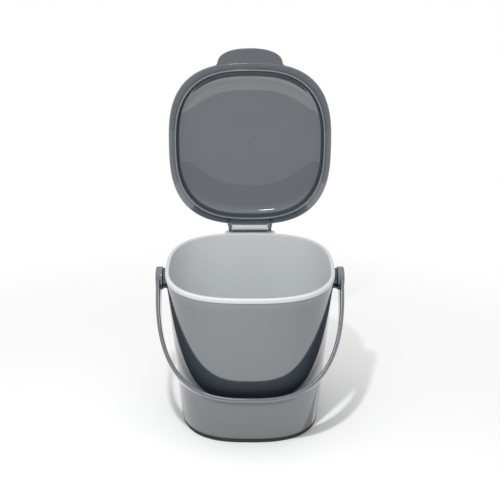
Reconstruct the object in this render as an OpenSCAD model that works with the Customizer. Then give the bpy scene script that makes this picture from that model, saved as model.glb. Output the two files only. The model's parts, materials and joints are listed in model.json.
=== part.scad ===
// Countertop compost caddy: a charcoal outer bucket, a light grey liner whose
// rim carries the hinge, a domed lid with a thumb tab, a wide strap handle that
// swings on two bosses, and a foot ring. Drawn with the lid open and the handle
// lying against the front wall. Origin: centre of the foot, on the floor.
// +X is to the right, +Y to the back (hinge side), +Z up. Millimetres.

/* [Bucket outline] */
// Half width of the rim, outside
rim_half = 93; // [86:1:104]
// Height of the top of the rim above the floor
rim_top = 182; // [160:1:205]
// Half width of the outer bucket at its foot
base_half = 79.6; // [72:0.2:84]
// How square the rounded outline is (2 is a circle)
squareness = 2.7; // [2.4:0.1:3.2]

/* [Outer shell] */
// Thickness of the outer bucket's wall
shell_wall = 2; // [1.6:0.1:2.4]
// Thickness of the outer bucket's floor
shell_floor = 2.4; // [2:0.1:3.2]
// How far the outer bucket's top edge stands back under the rim
rim_shadow = 0.5; // [0.3:0.1:1]
// Rounding of the outer bucket's bottom edge
bottom_round = 1.6; // [1:0.1:2.4]

/* [Inner liner] */
// Thickness of the liner's wall
liner_wall = 1.5; // [1.3:0.1:1.7]
// Height of the rolled rim
rim_h = 4.8; // [4.2:0.1:6]
// Gap between liner and outer bucket just under the rim
liner_gap = 0.2; // [0.2:0.05:0.3]
// Extra room between liner and outer bucket at the foot
liner_taper = 2; // [1:0.1:4]
// Height of the liner's floor above the outer bucket's floor
liner_lift = 3.2; // [2:0.1:6]
// Radius between the liner's wall and floor
liner_round = 12; // [6:0.5:18]

/* [Lid] */
// How far the lid's edge stands out past the rim
lid_overhang = 2.5; // [1.5:0.1:3.5]
// Gap between the rim and the closed lid
lid_gap = 0.4; // [0.3:0.05:0.8]
// Thickness of the lid's flange
flange_t = 2.8; // [2.4:0.1:3.4]
// Thickness of the lid's dome
dome_wall = 2; // [1.7:0.1:2.2]
// Height of the lid's underside at its centre, above the flange's underside
dome_rise = 18.4; // [14:0.2:22]
// How square the dome's section is, from its flat middle to its steep sides (2 is an ellipse)
dome_squareness = 4.4; // [3:0.1:6]
// How far the sealing skirt reaches down into the mouth
skirt_h = 4.6; // [3:0.1:6]
// Thickness of the sealing skirt
skirt_w = 1.8; // [1.4:0.1:2]
// Gap between the skirt and the liner's mouth
skirt_gap = 0.6; // [0.5:0.05:1]
// How far the thumb tab stands out past the lid's edge
tab_reach = 16.2; // [12:0.2:20]
// Half width of the thumb tab
tab_half = 37.5; // [28:0.5:44]
// Thickness of the thumb tab
tab_t = 2.4; // [2:0.1:2.8]

/* [Hinge] */
// Distance of the hinge axis behind the rim
hinge_out = 6.6; // [6.4:0.1:8]
// Height of the hinge axis above the rim
hinge_up = 5.2; // [5.2:0.1:6.6]
// Radius of the hinge barrel
knuckle_r = 4.6; // [4:0.1:4.8]
// Length of the hinge barrel
knuckle_len = 43; // [34:1:52]
// Radius of the hinge pin
pin_r = 1.5; // [1.2:0.1:2]
// Running clearance of the pin in the barrel, on the radius
pin_clear = 0.08; // [0.04:0.01:0.1]
// Gap between each lid ear and the barrel
ear_gap = 0.4; // [0.3:0.05:0.8]
// Thickness of a lid ear at its free end
ear_t = 3.8; // [3:0.1:5]
// Thickness of a lid ear where it leaves the lid
ear_root = 8; // [6:0.1:11]
// How far the lid stands open, measured from closed
open_angle = 96.2; // [90:0.1:105]

/* [Handle] */
// Depth of the handle pivots below the rim
pivot_drop = 18; // [17:0.5:26]
// Radius of the round boss on the outer bucket
boss_r = 11.5; // [10:0.1:12.5]
// How far the boss stands out past the rim
boss_out = 3.5; // [3:0.1:5]
// Radius of the handle's end discs
disc_r = 13; // [12.6:0.1:15]
// Gap between the handle's disc and the boss
disc_gap = 0.3; // [0.3:0.05:0.6]
// Thickness of the handle's end discs
disc_t = 7.6; // [6.8:0.1:9]
// Radius of the handle's pivot stub
stub_r = 5; // [4:0.1:5.4]
// Running clearance of the stub in the boss, on the radius
stub_clear = 0.08; // [0.04:0.01:0.1]
// Thickness of the strap
strap_t = 4.5; // [3.6:0.1:5.4]
// Width of the strap at the discs
strap_w_top = 24; // [20:0.5:25]
// Width of the strap at the grip
strap_w_grip = 22; // [18:0.5:28]
// Distance from the pivots to the outside of the grip
handle_reach = 140.7; // [132:0.5:152]
// How square the handle's curve is (2 is an ellipse)
handle_squareness = 2.75; // [2.4:0.05:3.2]

/* [Foot ring] */
// Height of the foot ring
foot_h = 3.6; // [2.8:0.1:5]
// Width of the foot ring
foot_w = 10; // [7:0.5:14]
// How far the foot ring stands back under the outer bucket
foot_inset = 1; // [0.8:0.1:3]
// Height of the rib that locates the foot ring
foot_rib_h = 2; // [1.2:0.1:2.6]

/* [Hidden] */

charcoal = "#5f6266";
light_grey = "#cfd2d2";
foot_black = "#2c2d2f";
steel = "#b9bcc0";

// points round an outline, stations along the handle, and facets on round pins
seg = 88;
strap_seg = 48;
fine = 48;

// what a piece reaches into its own solid to fuse, and past a face to cut it
fuse = 0.6;
past = 1;

// outer bucket
shell_top = rim_top - rim_h;
shell_top_half = rim_half - rim_shadow;
shell_slope = (shell_top_half - base_half) / (shell_top - foot_h - bottom_round);
function shell_half(z) = shell_top_half - shell_slope * (shell_top - z);
shell_floor_top = foot_h + shell_floor;
shell_inner_round = 4;

// foot ring and its locating rib
foot_half = base_half - foot_inset;
foot_edge = 0.8;
foot_rib_gap = 0.2;
foot_rib_t = 1.6;
foot_rib_half = foot_half - foot_w - foot_rib_gap;

// liner: its wall follows the outer bucket, a little steeper
liner_top_half = shell_top_half - shell_wall - liner_gap;
liner_bottom = shell_floor_top + liner_lift;
liner_slope = shell_slope + liner_taper / (shell_top - liner_bottom);
function liner_half(z) = liner_top_half - liner_slope * (shell_top - z);
mouth_half = liner_top_half - liner_wall;
rim_round = 1.9;
mouth_round = 1.2;

// lid, drawn closed and then opened about the hinge
lid_half = rim_half + lid_overhang;
lid_squareness = squareness + 0.1;
lid_z = rim_top + lid_gap;
skirt_half = mouth_half - skirt_gap;
edge_round = flange_t / 2;
tab_squareness = 2.3;
tab_root = 3;
tab_overlap = 1.5;
dome_middle = 8;
dome_steps = [dome_middle:12:80];
gate_r = 1.3;
gate_h = 0.4;

// hinge
hinge_y = rim_half + hinge_out;
hinge_z = rim_top + hinge_up;
ear_margin = 0.2;
ear_overlap = 9.6;
ear_rise = 1.2;
ear_r = knuckle_r + ear_margin;
ear_inner = knuckle_len / 2 + ear_gap;
ear_start = lid_half - ear_overlap;
pin_recess = 0.4;
knuckle_room = 1.2;
shelf_margin = 0.6;
shelf_overlap = 3;
shelf_half = ear_inner + ear_root + shelf_margin;
shelf_corner = 6;
barrel_crevice = 1.4;
shelf_top = hinge_z - knuckle_r - barrel_crevice;
web_front = 0.5;
web_angle = 10;

// handle
pivot_z = rim_top - pivot_drop;
boss_end = rim_half + boss_out;
boss_skin = 2.6;
stub_lip = 1.2;
pocket_room = 1.8;
stub_head_r = stub_r + stub_lip;
pocket_r = stub_head_r + pocket_room;
stub_head_t = 1.6;
stub_slot = 1.4;
disc_inner = boss_end + disc_gap;
disc_outer = disc_inner + disc_t;
disc_edge = 1.4;
strap_inset = 0.8;
strap_half = disc_outer - strap_inset;
strap_round = 1.5;
rest_gap = 0.3;

// the strap's back edge rests on the front wall: the handle's angle from
// straight down, forwards, solved from the wall's slope and the strap's size
grip_inner = handle_reach - strap_t;
grip_corner = sqrt(pow(grip_inner, 2) + pow(strap_w_grip / 2, 2));
wall_lean = atan(shell_slope);
corner_angle = asin((shell_half(pivot_z) + rest_gap) * cos(wall_lean) / grip_corner) - wall_lean;
handle_angle = corner_angle + atan(strap_w_grip / 2 / grip_inner);

// ---- outlines and skins ----

// distance from the centre of a unit rounded square, in direction t
function rounded(t, n) = pow(pow(abs(cos(t)), n) + pow(abs(sin(t)), n), -1 / n);

// one level outline of half width a at height z
function ring(a, z, n) =
    [for (i = [0:seg - 1]) let (t = 360 * i / seg) a * rounded(t, n) * [cos(t), sin(t), 0] + [0, 0, z]];

// arc about c from angle a0 to a1, r wide and h high
function arc(c, r, h, a0, a1, steps) =
    [for (i = [0:steps]) let (a = a0 + (a1 - a0) * i / steps) c + [r * cos(a), h * sin(a)]];

// skin over rings of equal length: a solid with two ends, or a closed hoop
module skin(rings, hoop = false) {
    n = len(rings[0]);
    count = len(rings);
    sides = [
        for (k = [0:hoop ? count - 1 : count - 2], i = [0:n - 1])
            let (j = (i + 1) % n, a = k * n, b = (k + 1) % count * n)
                each [[a + i, b + i, b + j], [a + i, b + j, a + j]]
    ];
    ends = hoop ? [] : [
        [for (i = [0:n - 1]) i],
        [for (i = [n - 1:-1:0]) (count - 1) * n + i]
    ];
    polyhedron(points = [for (r = rings) each r], faces = concat(ends, sides));
}

// the section [half width, height] taken round the bucket's outline; a third
// value gives that point's outline its own squareness
module round_body(section, hoop = false) {
    skin([for (p = section) ring(p[0], p[1], is_undef(p[2]) ? squareness : p[2])], hoop);
}

// the bucket's outline of half width a, as a flat drawing
module outline(a) {
    polygon([for (p = ring(a, 0, squareness)) [p[0], p[1]]]);
}

module along_x(x0, x1, r) {
    translate([x0, 0, 0])
        rotate([0, 90, 0])
            cylinder(h = x1 - x0, r = r, $fn = fine);
}

// a side profile in Y and Z, drawn from x0 to x1
module slab_x(x0, x1, profile) {
    translate([x0, 0, 0])
        rotate([90, 0, 90])
            linear_extrude(x1 - x0)
                polygon(profile);
}

module left_and_right() {
    children();
    mirror([1, 0, 0])
        children();
}

// ---- outer shell ----

module shell_walls() {
    floor_half = shell_half(shell_floor_top) - shell_wall;
    round_body(concat(
        arc([base_half - bottom_round, foot_h + bottom_round], bottom_round, bottom_round, -90, 0, 3),
        [[shell_top_half, shell_top], [shell_top_half - shell_wall, shell_top]],
        arc([floor_half - shell_inner_round, shell_floor_top + shell_inner_round],
            shell_inner_round, shell_inner_round, 0, -90, 3)
    ));
}

// hoop under the floor that the foot ring fits round
module foot_rib() {
    round_body([
        [foot_rib_half, foot_h - foot_rib_h],
        [foot_rib_half, foot_h + fuse],
        [foot_rib_half - foot_rib_t, foot_h + fuse],
        [foot_rib_half - foot_rib_t, foot_h - foot_rib_h]
    ], hoop = true);
}

module outer_shell() {
    color(charcoal)
        difference() {
            union() {
                shell_walls();
                foot_rib();
                left_and_right()
                    translate([0, 0, pivot_z])
                        along_x(shell_half(pivot_z) - shell_wall / 2, boss_end, boss_r);
            }
            left_and_right()
                translate([0, 0, pivot_z]) {
                    along_x(mouth_half - pocket_r, boss_end - boss_skin, pocket_r);
                    along_x(mouth_half, boss_end + past, stub_r + stub_clear);
                }
        }
}

// ---- inner liner ----

module liner_walls() {
    outer_round = liner_round + liner_wall;
    outer_foot = liner_half(liner_bottom + outer_round) - outer_round;
    floor_top = liner_bottom + liner_wall;
    inner_foot = liner_half(floor_top + liner_round) - liner_wall - liner_round;
    round_body(concat(
        arc([outer_foot, liner_bottom + outer_round], outer_round, outer_round, -90, 0, 4),
        [[liner_top_half, shell_top], [rim_half, shell_top]],
        arc([rim_half - rim_round, rim_top - rim_round], rim_round, rim_round, 0, 90, 3),
        arc([mouth_half + mouth_round, rim_top - mouth_round], mouth_round, mouth_round, 90, 180, 2),
        arc([inner_foot, floor_top + liner_round], liner_round, liner_round, 0, -90, 5)
    ));
}

// shelf at the back of the rim, under the hinge barrel
module hinge_shelf() {
    back = hinge_y + knuckle_r;
    corner = [shelf_half - shelf_corner, back - shelf_corner];
    right_side = concat([[shelf_half, rim_half - shelf_overlap]], arc(corner, shelf_corner, shelf_corner, 0, 90, 6));
    left_side = [for (i = [len(right_side) - 1:-1:0]) [-right_side[i][0], right_side[i][1]]];
    translate([0, 0, shell_top])
        linear_extrude(shelf_top - shell_top)
            polygon(concat(right_side, left_side));
}

// barrel and the web that stands it on the shelf
module hinge_barrel() {
    web = [
        [hinge_y + web_front, shelf_top - fuse],
        [hinge_y + knuckle_r, shelf_top - fuse],
        [hinge_y + knuckle_r * cos(web_angle), hinge_z - knuckle_r * sin(web_angle)],
        [hinge_y + web_front, hinge_z]
    ];
    slab_x(-knuckle_len / 2, knuckle_len / 2, web);
    translate([0, hinge_y, hinge_z])
        along_x(-knuckle_len / 2, knuckle_len / 2, knuckle_r);
}

module inner_liner() {
    color(light_grey)
        difference() {
            union() {
                liner_walls();
                hinge_shelf();
                hinge_barrel();
            }
            translate([0, hinge_y, hinge_z])
                along_x(-knuckle_len / 2 - past, knuckle_len / 2 + past, pin_r + pin_clear);
        }
}

// ---- foot ring ----

module foot_ring() {
    color(foot_black)
        difference() {
            union() {
                round_body(arc([foot_half - foot_edge, foot_edge], foot_edge, foot_edge, -90, 0, 2));
                translate([0, 0, foot_edge])
                    linear_extrude(foot_h - foot_edge)
                        outline(foot_half);
            }
            translate([0, 0, -past])
                linear_extrude(foot_h + 2 * past)
                    outline(foot_half - foot_w);
        }
}

// ---- lid ----

// how far out and how high the dome's section is at t, as shares of its half width and height
function dome_share(t) = [pow(sin(t), 2 / dome_squareness), pow(cos(t), 2 / dome_squareness)];

// the dome's section of half width a, from its flat middle at height z + h down to z
function dome_run(a, h, z) =
    [for (t = dome_steps) let (d = dome_share(t)) [a * d[0], z + h * d[1]]];

// the skirt and dome follow the mouth's outline, and the edge is a little squarer
module lid_shell() {
    inner_half = skirt_half - skirt_w;
    outer_run = dome_run(skirt_half, dome_rise + dome_wall - flange_t, lid_z + flange_t);
    edge = arc([lid_half - edge_round, lid_z + edge_round], edge_round, edge_round, -90, 90, 4);
    round_body(concat(
        dome_run(inner_half, dome_rise, lid_z),
        [[inner_half, lid_z - skirt_h + skirt_w / 2]],
        arc([skirt_half - skirt_w / 2, lid_z - skirt_h + skirt_w / 2], skirt_w / 2, skirt_w / 2, 180, 360, 3),
        [[skirt_half, lid_z]],
        [for (p = edge) concat(p, lid_squareness)],
        [[skirt_half, lid_z + flange_t]],
        [for (i = [len(outer_run) - 1:-1:0]) outer_run[i]]
    ));
}

// how far forward the lid's edge reaches at x
function lid_front(x) = lid_half * pow(1 - pow(x / lid_half, lid_squareness), 1 / lid_squareness);

// thumb tab: a rounded tongue with filleted roots on the lid's front edge
module thumb_tab() {
    root_y = lid_half - tab_overlap;
    reach = tab_reach + tab_overlap;
    tongue = [
        for (t = [15:7.5:165])
            [tab_half * rounded(t, tab_squareness) * cos(t), -root_y - reach * rounded(t, tab_squareness) * sin(t)]
    ];
    fillet = [
        for (t = [0:15:90])
            let (x = tab_half + tab_root * (1 - sin(t)))
                [x, -lid_front(x) - tab_root * (1 - cos(t))]
    ];
    other_fillet = [for (i = [len(fillet) - 1:-1:0]) [-fillet[i][0], fillet[i][1]]];
    inside = [[-tab_half - tab_root, -skirt_half], [tab_half + tab_root, -skirt_half]];
    translate([0, 0, lid_z + (flange_t - tab_t) / 2])
        linear_extrude(tab_t)
            polygon(concat(fillet, tongue, other_fillet, inside));
}

// ears beside the hinge barrel, flared where they leave the flange
module hinge_ears() {
    side = concat(
        [[ear_start, lid_z]],
        arc([hinge_y, hinge_z], ear_r, ear_r, -90, 90, 14),
        [[ear_start, lid_z + flange_t + ear_rise]]
    );
    back = hinge_y + ear_r + past;
    flare = [
        for (i = [0:8])
            let (f = i / 8)
                [ear_inner + ear_t + (ear_root - ear_t) * pow(1 - f, 2), ear_start + (back - ear_start) * f]
    ];
    left_and_right()
        intersection() {
            slab_x(ear_inner, ear_inner + ear_root, side);
            linear_extrude(2 * hinge_z)
                polygon(concat([[ear_inner, ear_start]], flare, [[ear_inner, back]]));
        }
}

module closed_lid() {
    difference() {
        union() {
            lid_shell();
            thumb_tab();
            hinge_ears();
            translate([0, 0, lid_z + dome_rise * dome_share(dome_middle)[1] - gate_h])
                cylinder(h = gate_h + fuse, r = gate_r, $fn = fine);
        }
        translate([-ear_inner, hinge_y - knuckle_r - knuckle_room, lid_z - past])
            cube([2 * ear_inner, 2 * knuckle_r, 2 * knuckle_r]);
        translate([0, hinge_y, hinge_z])
            along_x(-ear_inner - ear_root - past, ear_inner + ear_root + past, pin_r);
    }
}

// turns a piece drawn with the lid closed to where it stands open
module opened() {
    translate([0, hinge_y, hinge_z])
        rotate([-open_angle, 0, 0])
            translate([0, -hinge_y, -hinge_z])
                children();
}

module lid() {
    color(charcoal)
        opened()
            closed_lid();
}

// ---- hinge pin ----

module hinge_pin() {
    half = ear_inner + ear_t - pin_recess;
    color(steel)
        translate([0, hinge_y, hinge_z])
            along_x(-half, half, pin_r);
}

// ---- handle, drawn hanging straight down from its pivots ----

// centre line of the strap's outside: distance across and distance down
function strap_line(t) =
    rounded(t, handle_squareness) * [strap_half * cos(t), handle_reach * sin(t)];

// rounded section of the strap: how deep under the outside, and how far along Y
function strap_section(w) =
    let (r = strap_round, d = strap_t / 2 - r, h = w / 2 - r)
        concat(
            arc([d, h], r, r, 0, 90, 3),
            arc([-d, h], r, r, 90, 180, 3),
            arc([-d, -h], r, r, 180, 270, 3),
            arc([d, -h], r, r, 270, 360, 3)
        );

module strap() {
    step = 180 / strap_seg;
    skin([
        for (i = [0:strap_seg])
            let (
                t = i * step,
                p = strap_line(t),
                along = strap_line(min(t + 0.5, 180)) - strap_line(max(t - 0.5, 0)),
                out = [along[1], -along[0]] / norm(along),
                w = strap_w_top + (strap_w_grip - strap_w_top) * pow(sin(t), 2)
            )
                [for (q = strap_section(w)) let (c = p + out * (q[0] - strap_t / 2)) [c[0], -q[1], -c[1]]]
    ]);
}

// disc on each end of the strap, with the stub that snaps into the boss
module handle_end() {
    rotate([0, 90, 0])
        rotate_extrude($fn = fine)
            polygon(concat(
                [[0, disc_inner], [disc_r, disc_inner]],
                arc([disc_r - disc_edge, disc_outer - disc_edge], disc_edge, disc_edge, 0, 90, 4),
                [[0, disc_outer]]
            ));
    head_outer = boss_end - boss_skin - rest_gap;
    difference() {
        union() {
            along_x(head_outer - stub_head_t, disc_inner + fuse, stub_r);
            along_x(head_outer - stub_head_t, head_outer, stub_head_r);
        }
        translate([head_outer - stub_head_t - past, -stub_head_r - past, -stub_slot / 2])
            cube([stub_head_t + boss_skin + past, 2 * (stub_head_r + past), stub_slot]);
    }
}

module handle() {
    color(charcoal)
        translate([0, 0, pivot_z])
            rotate([-handle_angle, 0, 0]) {
                strap();
                left_and_right()
                    handle_end();
            }
}

outer_shell();
inner_liner();
foot_ring();
lid();
hinge_pin();
handle();
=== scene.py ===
import json
from math import asin, atan, cos, pi, radians, sin, sqrt

import bmesh
import bpy
import numpy as np
from mathutils import Matrix, Vector


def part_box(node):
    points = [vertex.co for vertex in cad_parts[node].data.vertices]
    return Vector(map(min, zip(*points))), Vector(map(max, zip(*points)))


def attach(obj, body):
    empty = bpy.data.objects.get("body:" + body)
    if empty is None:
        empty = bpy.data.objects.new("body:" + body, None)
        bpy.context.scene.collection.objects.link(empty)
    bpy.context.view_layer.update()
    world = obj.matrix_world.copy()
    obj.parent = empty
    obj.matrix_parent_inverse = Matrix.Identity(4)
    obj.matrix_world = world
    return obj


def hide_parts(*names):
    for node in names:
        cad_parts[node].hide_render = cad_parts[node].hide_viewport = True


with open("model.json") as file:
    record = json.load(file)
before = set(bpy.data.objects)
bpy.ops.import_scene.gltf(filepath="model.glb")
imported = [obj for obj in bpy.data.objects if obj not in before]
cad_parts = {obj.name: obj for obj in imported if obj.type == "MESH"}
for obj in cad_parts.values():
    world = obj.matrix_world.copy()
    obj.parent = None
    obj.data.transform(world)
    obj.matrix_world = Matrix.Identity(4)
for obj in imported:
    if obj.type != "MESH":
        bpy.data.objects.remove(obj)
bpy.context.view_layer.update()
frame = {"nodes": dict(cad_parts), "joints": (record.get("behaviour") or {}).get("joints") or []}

bl_info = {
    "name": "Compost Caddy",
    "version": (1, 0, 0),
    "blender": (4, 5, 0),
    "location": "3D View > Sidebar > Caddy",
    "description": "Smooth mouldings, finishes and studio for a compost caddy with a hinged lid",
    "category": "Add Mesh",
}

MM = 0.001


# ---- what the frame says ----

def joint(name):
    """The frame's joint of that name."""
    return next(j for j in frame["joints"] if j["name"] == name)


def half_width(node):
    """Half of a node's width across the caddy."""
    return float(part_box(node)[1][0])


HINGE = Vector(joint("lid_hinge")["pos_m"])
PIVOT = Vector(joint("handle_swing")["pos_m"])
OPEN_ANGLE = radians(joint("lid_hinge")["range_deg"][1])
HINGE_UP = 5.2 * MM
RIM_TOP = HINGE.z - HINGE_UP
FOOT_TOP = float(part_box("foot_ring")[1][2])


# ---- sizes and colours a user would change ----

def length(name, description, default):
    """A size in metres."""
    return bpy.props.FloatProperty(
        name=name, description=description, default=default, min=0.0, precision=5,
        subtype="DISTANCE", unit="LENGTH",
    )


def number(name, description, default, low=0.0, high=10.0):
    """A plain number."""
    return bpy.props.FloatProperty(
        name=name, description=description, default=default, min=low, max=high,
    )


def colour(name, description, default):
    """A colour without alpha."""
    return bpy.props.FloatVectorProperty(
        name=name, description=description, default=default, min=0.0, max=1.0,
        size=3, subtype="COLOR",
    )


class CaddySizes(bpy.types.PropertyGroup):
    """Sizes of the caddy's mouldings."""

    squareness: number(
        "Squareness", "How square the outline is, where 2 is a circle", 2.7, 2.0, 4.0,
    )
    rim_half: length("Rim half width", "Half width of the liner's rim", half_width("inner_liner"))
    base_half: length("Base half width", "Half width of the outer bucket at its foot", 79.6 * MM)
    shell_wall: length("Shell wall", "Thickness of the outer bucket's wall", 2 * MM)
    shell_floor: length("Shell floor", "Thickness of the outer bucket's floor", 2.4 * MM)
    bottom_round: length("Bottom rounding", "Rounding of the outer bucket's bottom edge", 0.9 * MM)
    rim_shadow: length("Rim step", "How far the outer bucket stands back under the rim", 0.5 * MM)
    rim_height: length("Rim height", "Height of the liner's rim", 4.8 * MM)
    liner_wall: length("Liner wall", "Thickness of the liner's wall", 1.5 * MM)
    liner_gap: length("Liner gap", "Gap between liner and outer bucket under the rim", 0.2 * MM)
    liner_taper: length("Liner taper", "Extra room round the liner at the foot", 2 * MM)
    liner_lift: length(
        "Liner lift", "Height of the liner's floor above the outer bucket's floor", 3.2 * MM,
    )
    liner_round: length("Liner rounding", "Radius between the liner's wall and floor", 12 * MM)
    foot_width: length("Foot ring width", "Width of the foot ring", 10 * MM)
    foot_inset: length("Foot ring inset", "How far the foot ring stands back", 1 * MM)


class LidSizes(bpy.types.PropertyGroup):
    """Sizes of the lid and its hinge."""

    squareness: number(
        "Squareness", "How square the lid's outline is, where 2 is a circle", 2.8, 2.0, 4.0,
    )
    overhang: length("Overhang", "How far the lid's edge stands out past the rim", 2.5 * MM)
    gap: length("Gap", "Gap between the rim and the closed lid", 0.4 * MM)
    flange: length("Flange", "Thickness of the lid's flange", 2.8 * MM)
    wall: length("Wall", "Thickness of the lid's dome", 2 * MM)
    rise: length("Rise", "Height of the dome's underside above the flange's", 18.4 * MM)
    dome: number(
        "Dome squareness", "How square the dome's section is, where 2 is an ellipse", 4.4, 2.0, 8.0,
    )
    skirt: length("Skirt", "How far the sealing skirt reaches down", 4.6 * MM)
    skirt_wall: length("Skirt wall", "Thickness of the sealing skirt", 1.8 * MM)
    skirt_gap: length("Skirt gap", "Gap between the skirt and the mouth", 0.6 * MM)
    tab_reach: length("Tab reach", "How far the thumb tab stands out", 16.2 * MM)
    tab_half: length("Tab half width", "Half width of the thumb tab", 37.5 * MM)
    tab_thickness: length("Tab thickness", "Thickness of the thumb tab", 2.4 * MM)
    tab_root: length("Tab root", "Radius where the tab leaves the lid's edge", 3 * MM)
    barrel_radius: length("Barrel radius", "Radius of the hinge barrel", 4.6 * MM)
    barrel_length: length("Barrel length", "Length of the hinge barrel", 43 * MM)
    ear: length("Ear", "Thickness of a lid ear at its free end", 3.8 * MM)
    ear_root: length("Ear root", "Thickness of a lid ear where it leaves the lid", 8 * MM)
    ear_gap: length("Ear gap", "Gap between a lid ear and the barrel", 0.4 * MM)


class HandleSizes(bpy.types.PropertyGroup):
    """Sizes of the strap handle and its bosses."""

    squareness: number(
        "Squareness", "How square the handle's curve is, where 2 is an ellipse", 2.75, 2.0, 4.0,
    )
    boss_radius: length("Boss radius", "Radius of the round boss on the bucket", 11.5 * MM)
    boss_out: length("Boss reach", "How far the boss stands out past the rim", 3.5 * MM)
    disc_radius: length("Disc radius", "Radius of the handle's end discs", 13 * MM)
    disc_gap: length("Disc gap", "Gap between disc and boss", 0.3 * MM)
    disc_thickness: length("Disc thickness", "Thickness of the end discs", 7.6 * MM)
    stub_radius: length("Stub radius", "Radius of the pivot stub", 5 * MM)
    thickness: length("Strap thickness", "Thickness of the strap", 4.5 * MM)
    width_top: length("Strap width at the discs", "Width of the strap at the discs", 24 * MM)
    width_grip: length("Strap width at the grip", "Width of the strap at the grip", 21.95 * MM)
    reach: length("Reach", "Distance from the pivots to the outside of the grip", 140.65 * MM)
    rest_gap: length("Rest gap", "Gap between the resting strap and the wall", 0.3 * MM)


class CaddyFinish(bpy.types.PropertyGroup):
    """Colours and gloss of the finishes, and the studio's light."""

    charcoal: colour("Charcoal", "Colour of the shell, lid and handle", (0.052, 0.066, 0.080))
    grey: colour("Pale grey", "Colour of the liner", (0.60, 0.625, 0.635))
    foot: colour("Foot", "Colour of the foot ring", (0.022, 0.023, 0.025))
    steel: colour("Steel", "Colour of the hinge pin", (0.60, 0.61, 0.63))
    gloss: number("Gloss roughness", "Roughness of the charcoal mouldings", 0.10, 0.0, 1.0)
    key_power: number("Key power", "Power of the key light in watts", 14.0, 0.0, 1000.0)
    glint_power: number("Glint power", "Power of the small soft light in watts", 0.12, 0.0, 100.0)
    sky: number("Sky", "Strength of the studio's even light", 0.82)
    paper: colour("Paper", "Colour of the studio's floor", (0.96, 0.96, 0.96))


# ---- outlines, sections and lofts ----

SEGMENTS = 288


def rounded(t, n):
    """Distance from the centre of a unit rounded square, in direction t."""
    return (np.abs(np.cos(t)) ** n + np.abs(np.sin(t)) ** n) ** (-1 / n)


def ring(half, z, n):
    """One level outline of that half width at height z."""
    t = np.linspace(0, 2 * pi, SEGMENTS, endpoint=False)
    r = half * rounded(t, n)
    return np.column_stack([r * np.cos(t), r * np.sin(t), np.full(SEGMENTS, z)])


def arc(centre, r, h, start, end, steps):
    """Section points on an arc about centre, r wide and h high, angles in degrees."""
    angles = np.radians(np.linspace(start, end, steps + 1))
    return [(centre[0] + r * cos(a), centre[1] + h * sin(a)) for a in angles]


class Shape:
    """Vertices and faces of one piece, gathered from several lofts."""

    def __init__(self):
        self.points = []
        self.faces = []

    def loft(self, rings, hoop=False, start_cap=True, end_cap=True):
        """Skins rings of equal length: closed round each ring, and from ring to ring."""
        base = len(self.points)
        n = len(rings[0])
        count = len(rings)
        for r in rings:
            self.points.extend(map(tuple, r))
        for k in range(count if hoop else count - 1):
            a = base + k * n
            b = base + (k + 1) % count * n
            for i in range(n):
                j = (i + 1) % n
                self.faces.append((a + i, a + j, b + j, b + i))
        if not hoop and start_cap:
            self.faces.append(tuple(range(base + n - 1, base - 1, -1)))
        if not hoop and end_cap:
            self.faces.append(tuple(range(base + (count - 1) * n, base + count * n)))

    def piece(self, name, material, smooth_under=32, turn=None):
        """A mesh object of the gathered shape."""
        mesh = bpy.data.meshes.new(name)
        mesh.from_pydata(self.points, [], self.faces)
        if turn is not None:
            mesh.transform(turn)
        mesh.update()
        make_normals_outward(mesh)
        mesh.shade_smooth()
        mesh.set_sharp_from_angle(angle=radians(smooth_under))
        mesh.materials.append(material)
        piece = bpy.data.objects.new(name, mesh)
        bpy.context.scene.collection.objects.link(piece)
        return piece


def make_normals_outward(mesh):
    """Turns every shell of the mesh so that its faces look outward."""
    shell = bmesh.new()
    shell.from_mesh(mesh)
    bmesh.ops.recalc_face_normals(shell, faces=shell.faces)
    shell.to_mesh(mesh)
    shell.free()


def lathe_x(profile, steps=96):
    """Rings round the X axis from (x, radius) pairs."""
    t = np.linspace(0, 2 * pi, steps, endpoint=False)
    return [np.column_stack([np.full(steps, x), r * np.cos(t), r * np.sin(t)]) for x, r in profile]


def moved(rings, offset):
    """The same rings somewhere else."""
    return [r + np.array(offset) for r in rings]


def mirrored(rings):
    """The same rings on the other side of the caddy."""
    return [r * np.array([-1, 1, 1]) for r in rings]


def inset_outline(outline, depth):
    """A closed outline in a plane, drawn in by depth along its own normals."""
    along = np.roll(outline, -1, axis=0) - np.roll(outline, 1, axis=0)
    normal = np.column_stack([along[:, 1], -along[:, 0]])
    normal /= np.linalg.norm(normal, axis=1)[:, None]
    return outline - normal * depth


def resampled(outline, count):
    """The outline again with evenly spaced points."""
    closed = np.vstack([outline, outline[:1]])
    run = np.concatenate([[0], np.cumsum(np.linalg.norm(np.diff(closed, axis=0), axis=1))])
    at = np.linspace(0, run[-1], count, endpoint=False)
    return np.column_stack([np.interp(at, run, closed[:, i]) for i in range(2)])


def plate(outline, low, high, edge, place, steps=5, border=0.0):
    """Rings of a plate with rounded edges and, inside them, a flat border on each face.

    place turns a flat outline and a level into points.
    """
    shares = (1 / 3, 2 / 3, 1) if border else ()
    flats = [inset_outline(outline, edge + border * share) for share in shares]
    rings = [place(flat, low) for flat in reversed(flats)]
    for a in np.linspace(0, pi / 2, steps):
        rings.append(place(inset_outline(outline, edge * (1 - sin(a))), low + edge * (1 - cos(a))))
    for a in np.linspace(pi / 2, 0, steps):
        rings.append(place(inset_outline(outline, edge * (1 - sin(a))), high - edge * (1 - cos(a))))
    return rings + [place(flat, high) for flat in flats]


def at_height(outline, z):
    """A flat outline laid level at height z."""
    return np.column_stack([outline[:, 0], outline[:, 1], np.full(len(outline), z)])


# ---- finishes ----

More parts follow.
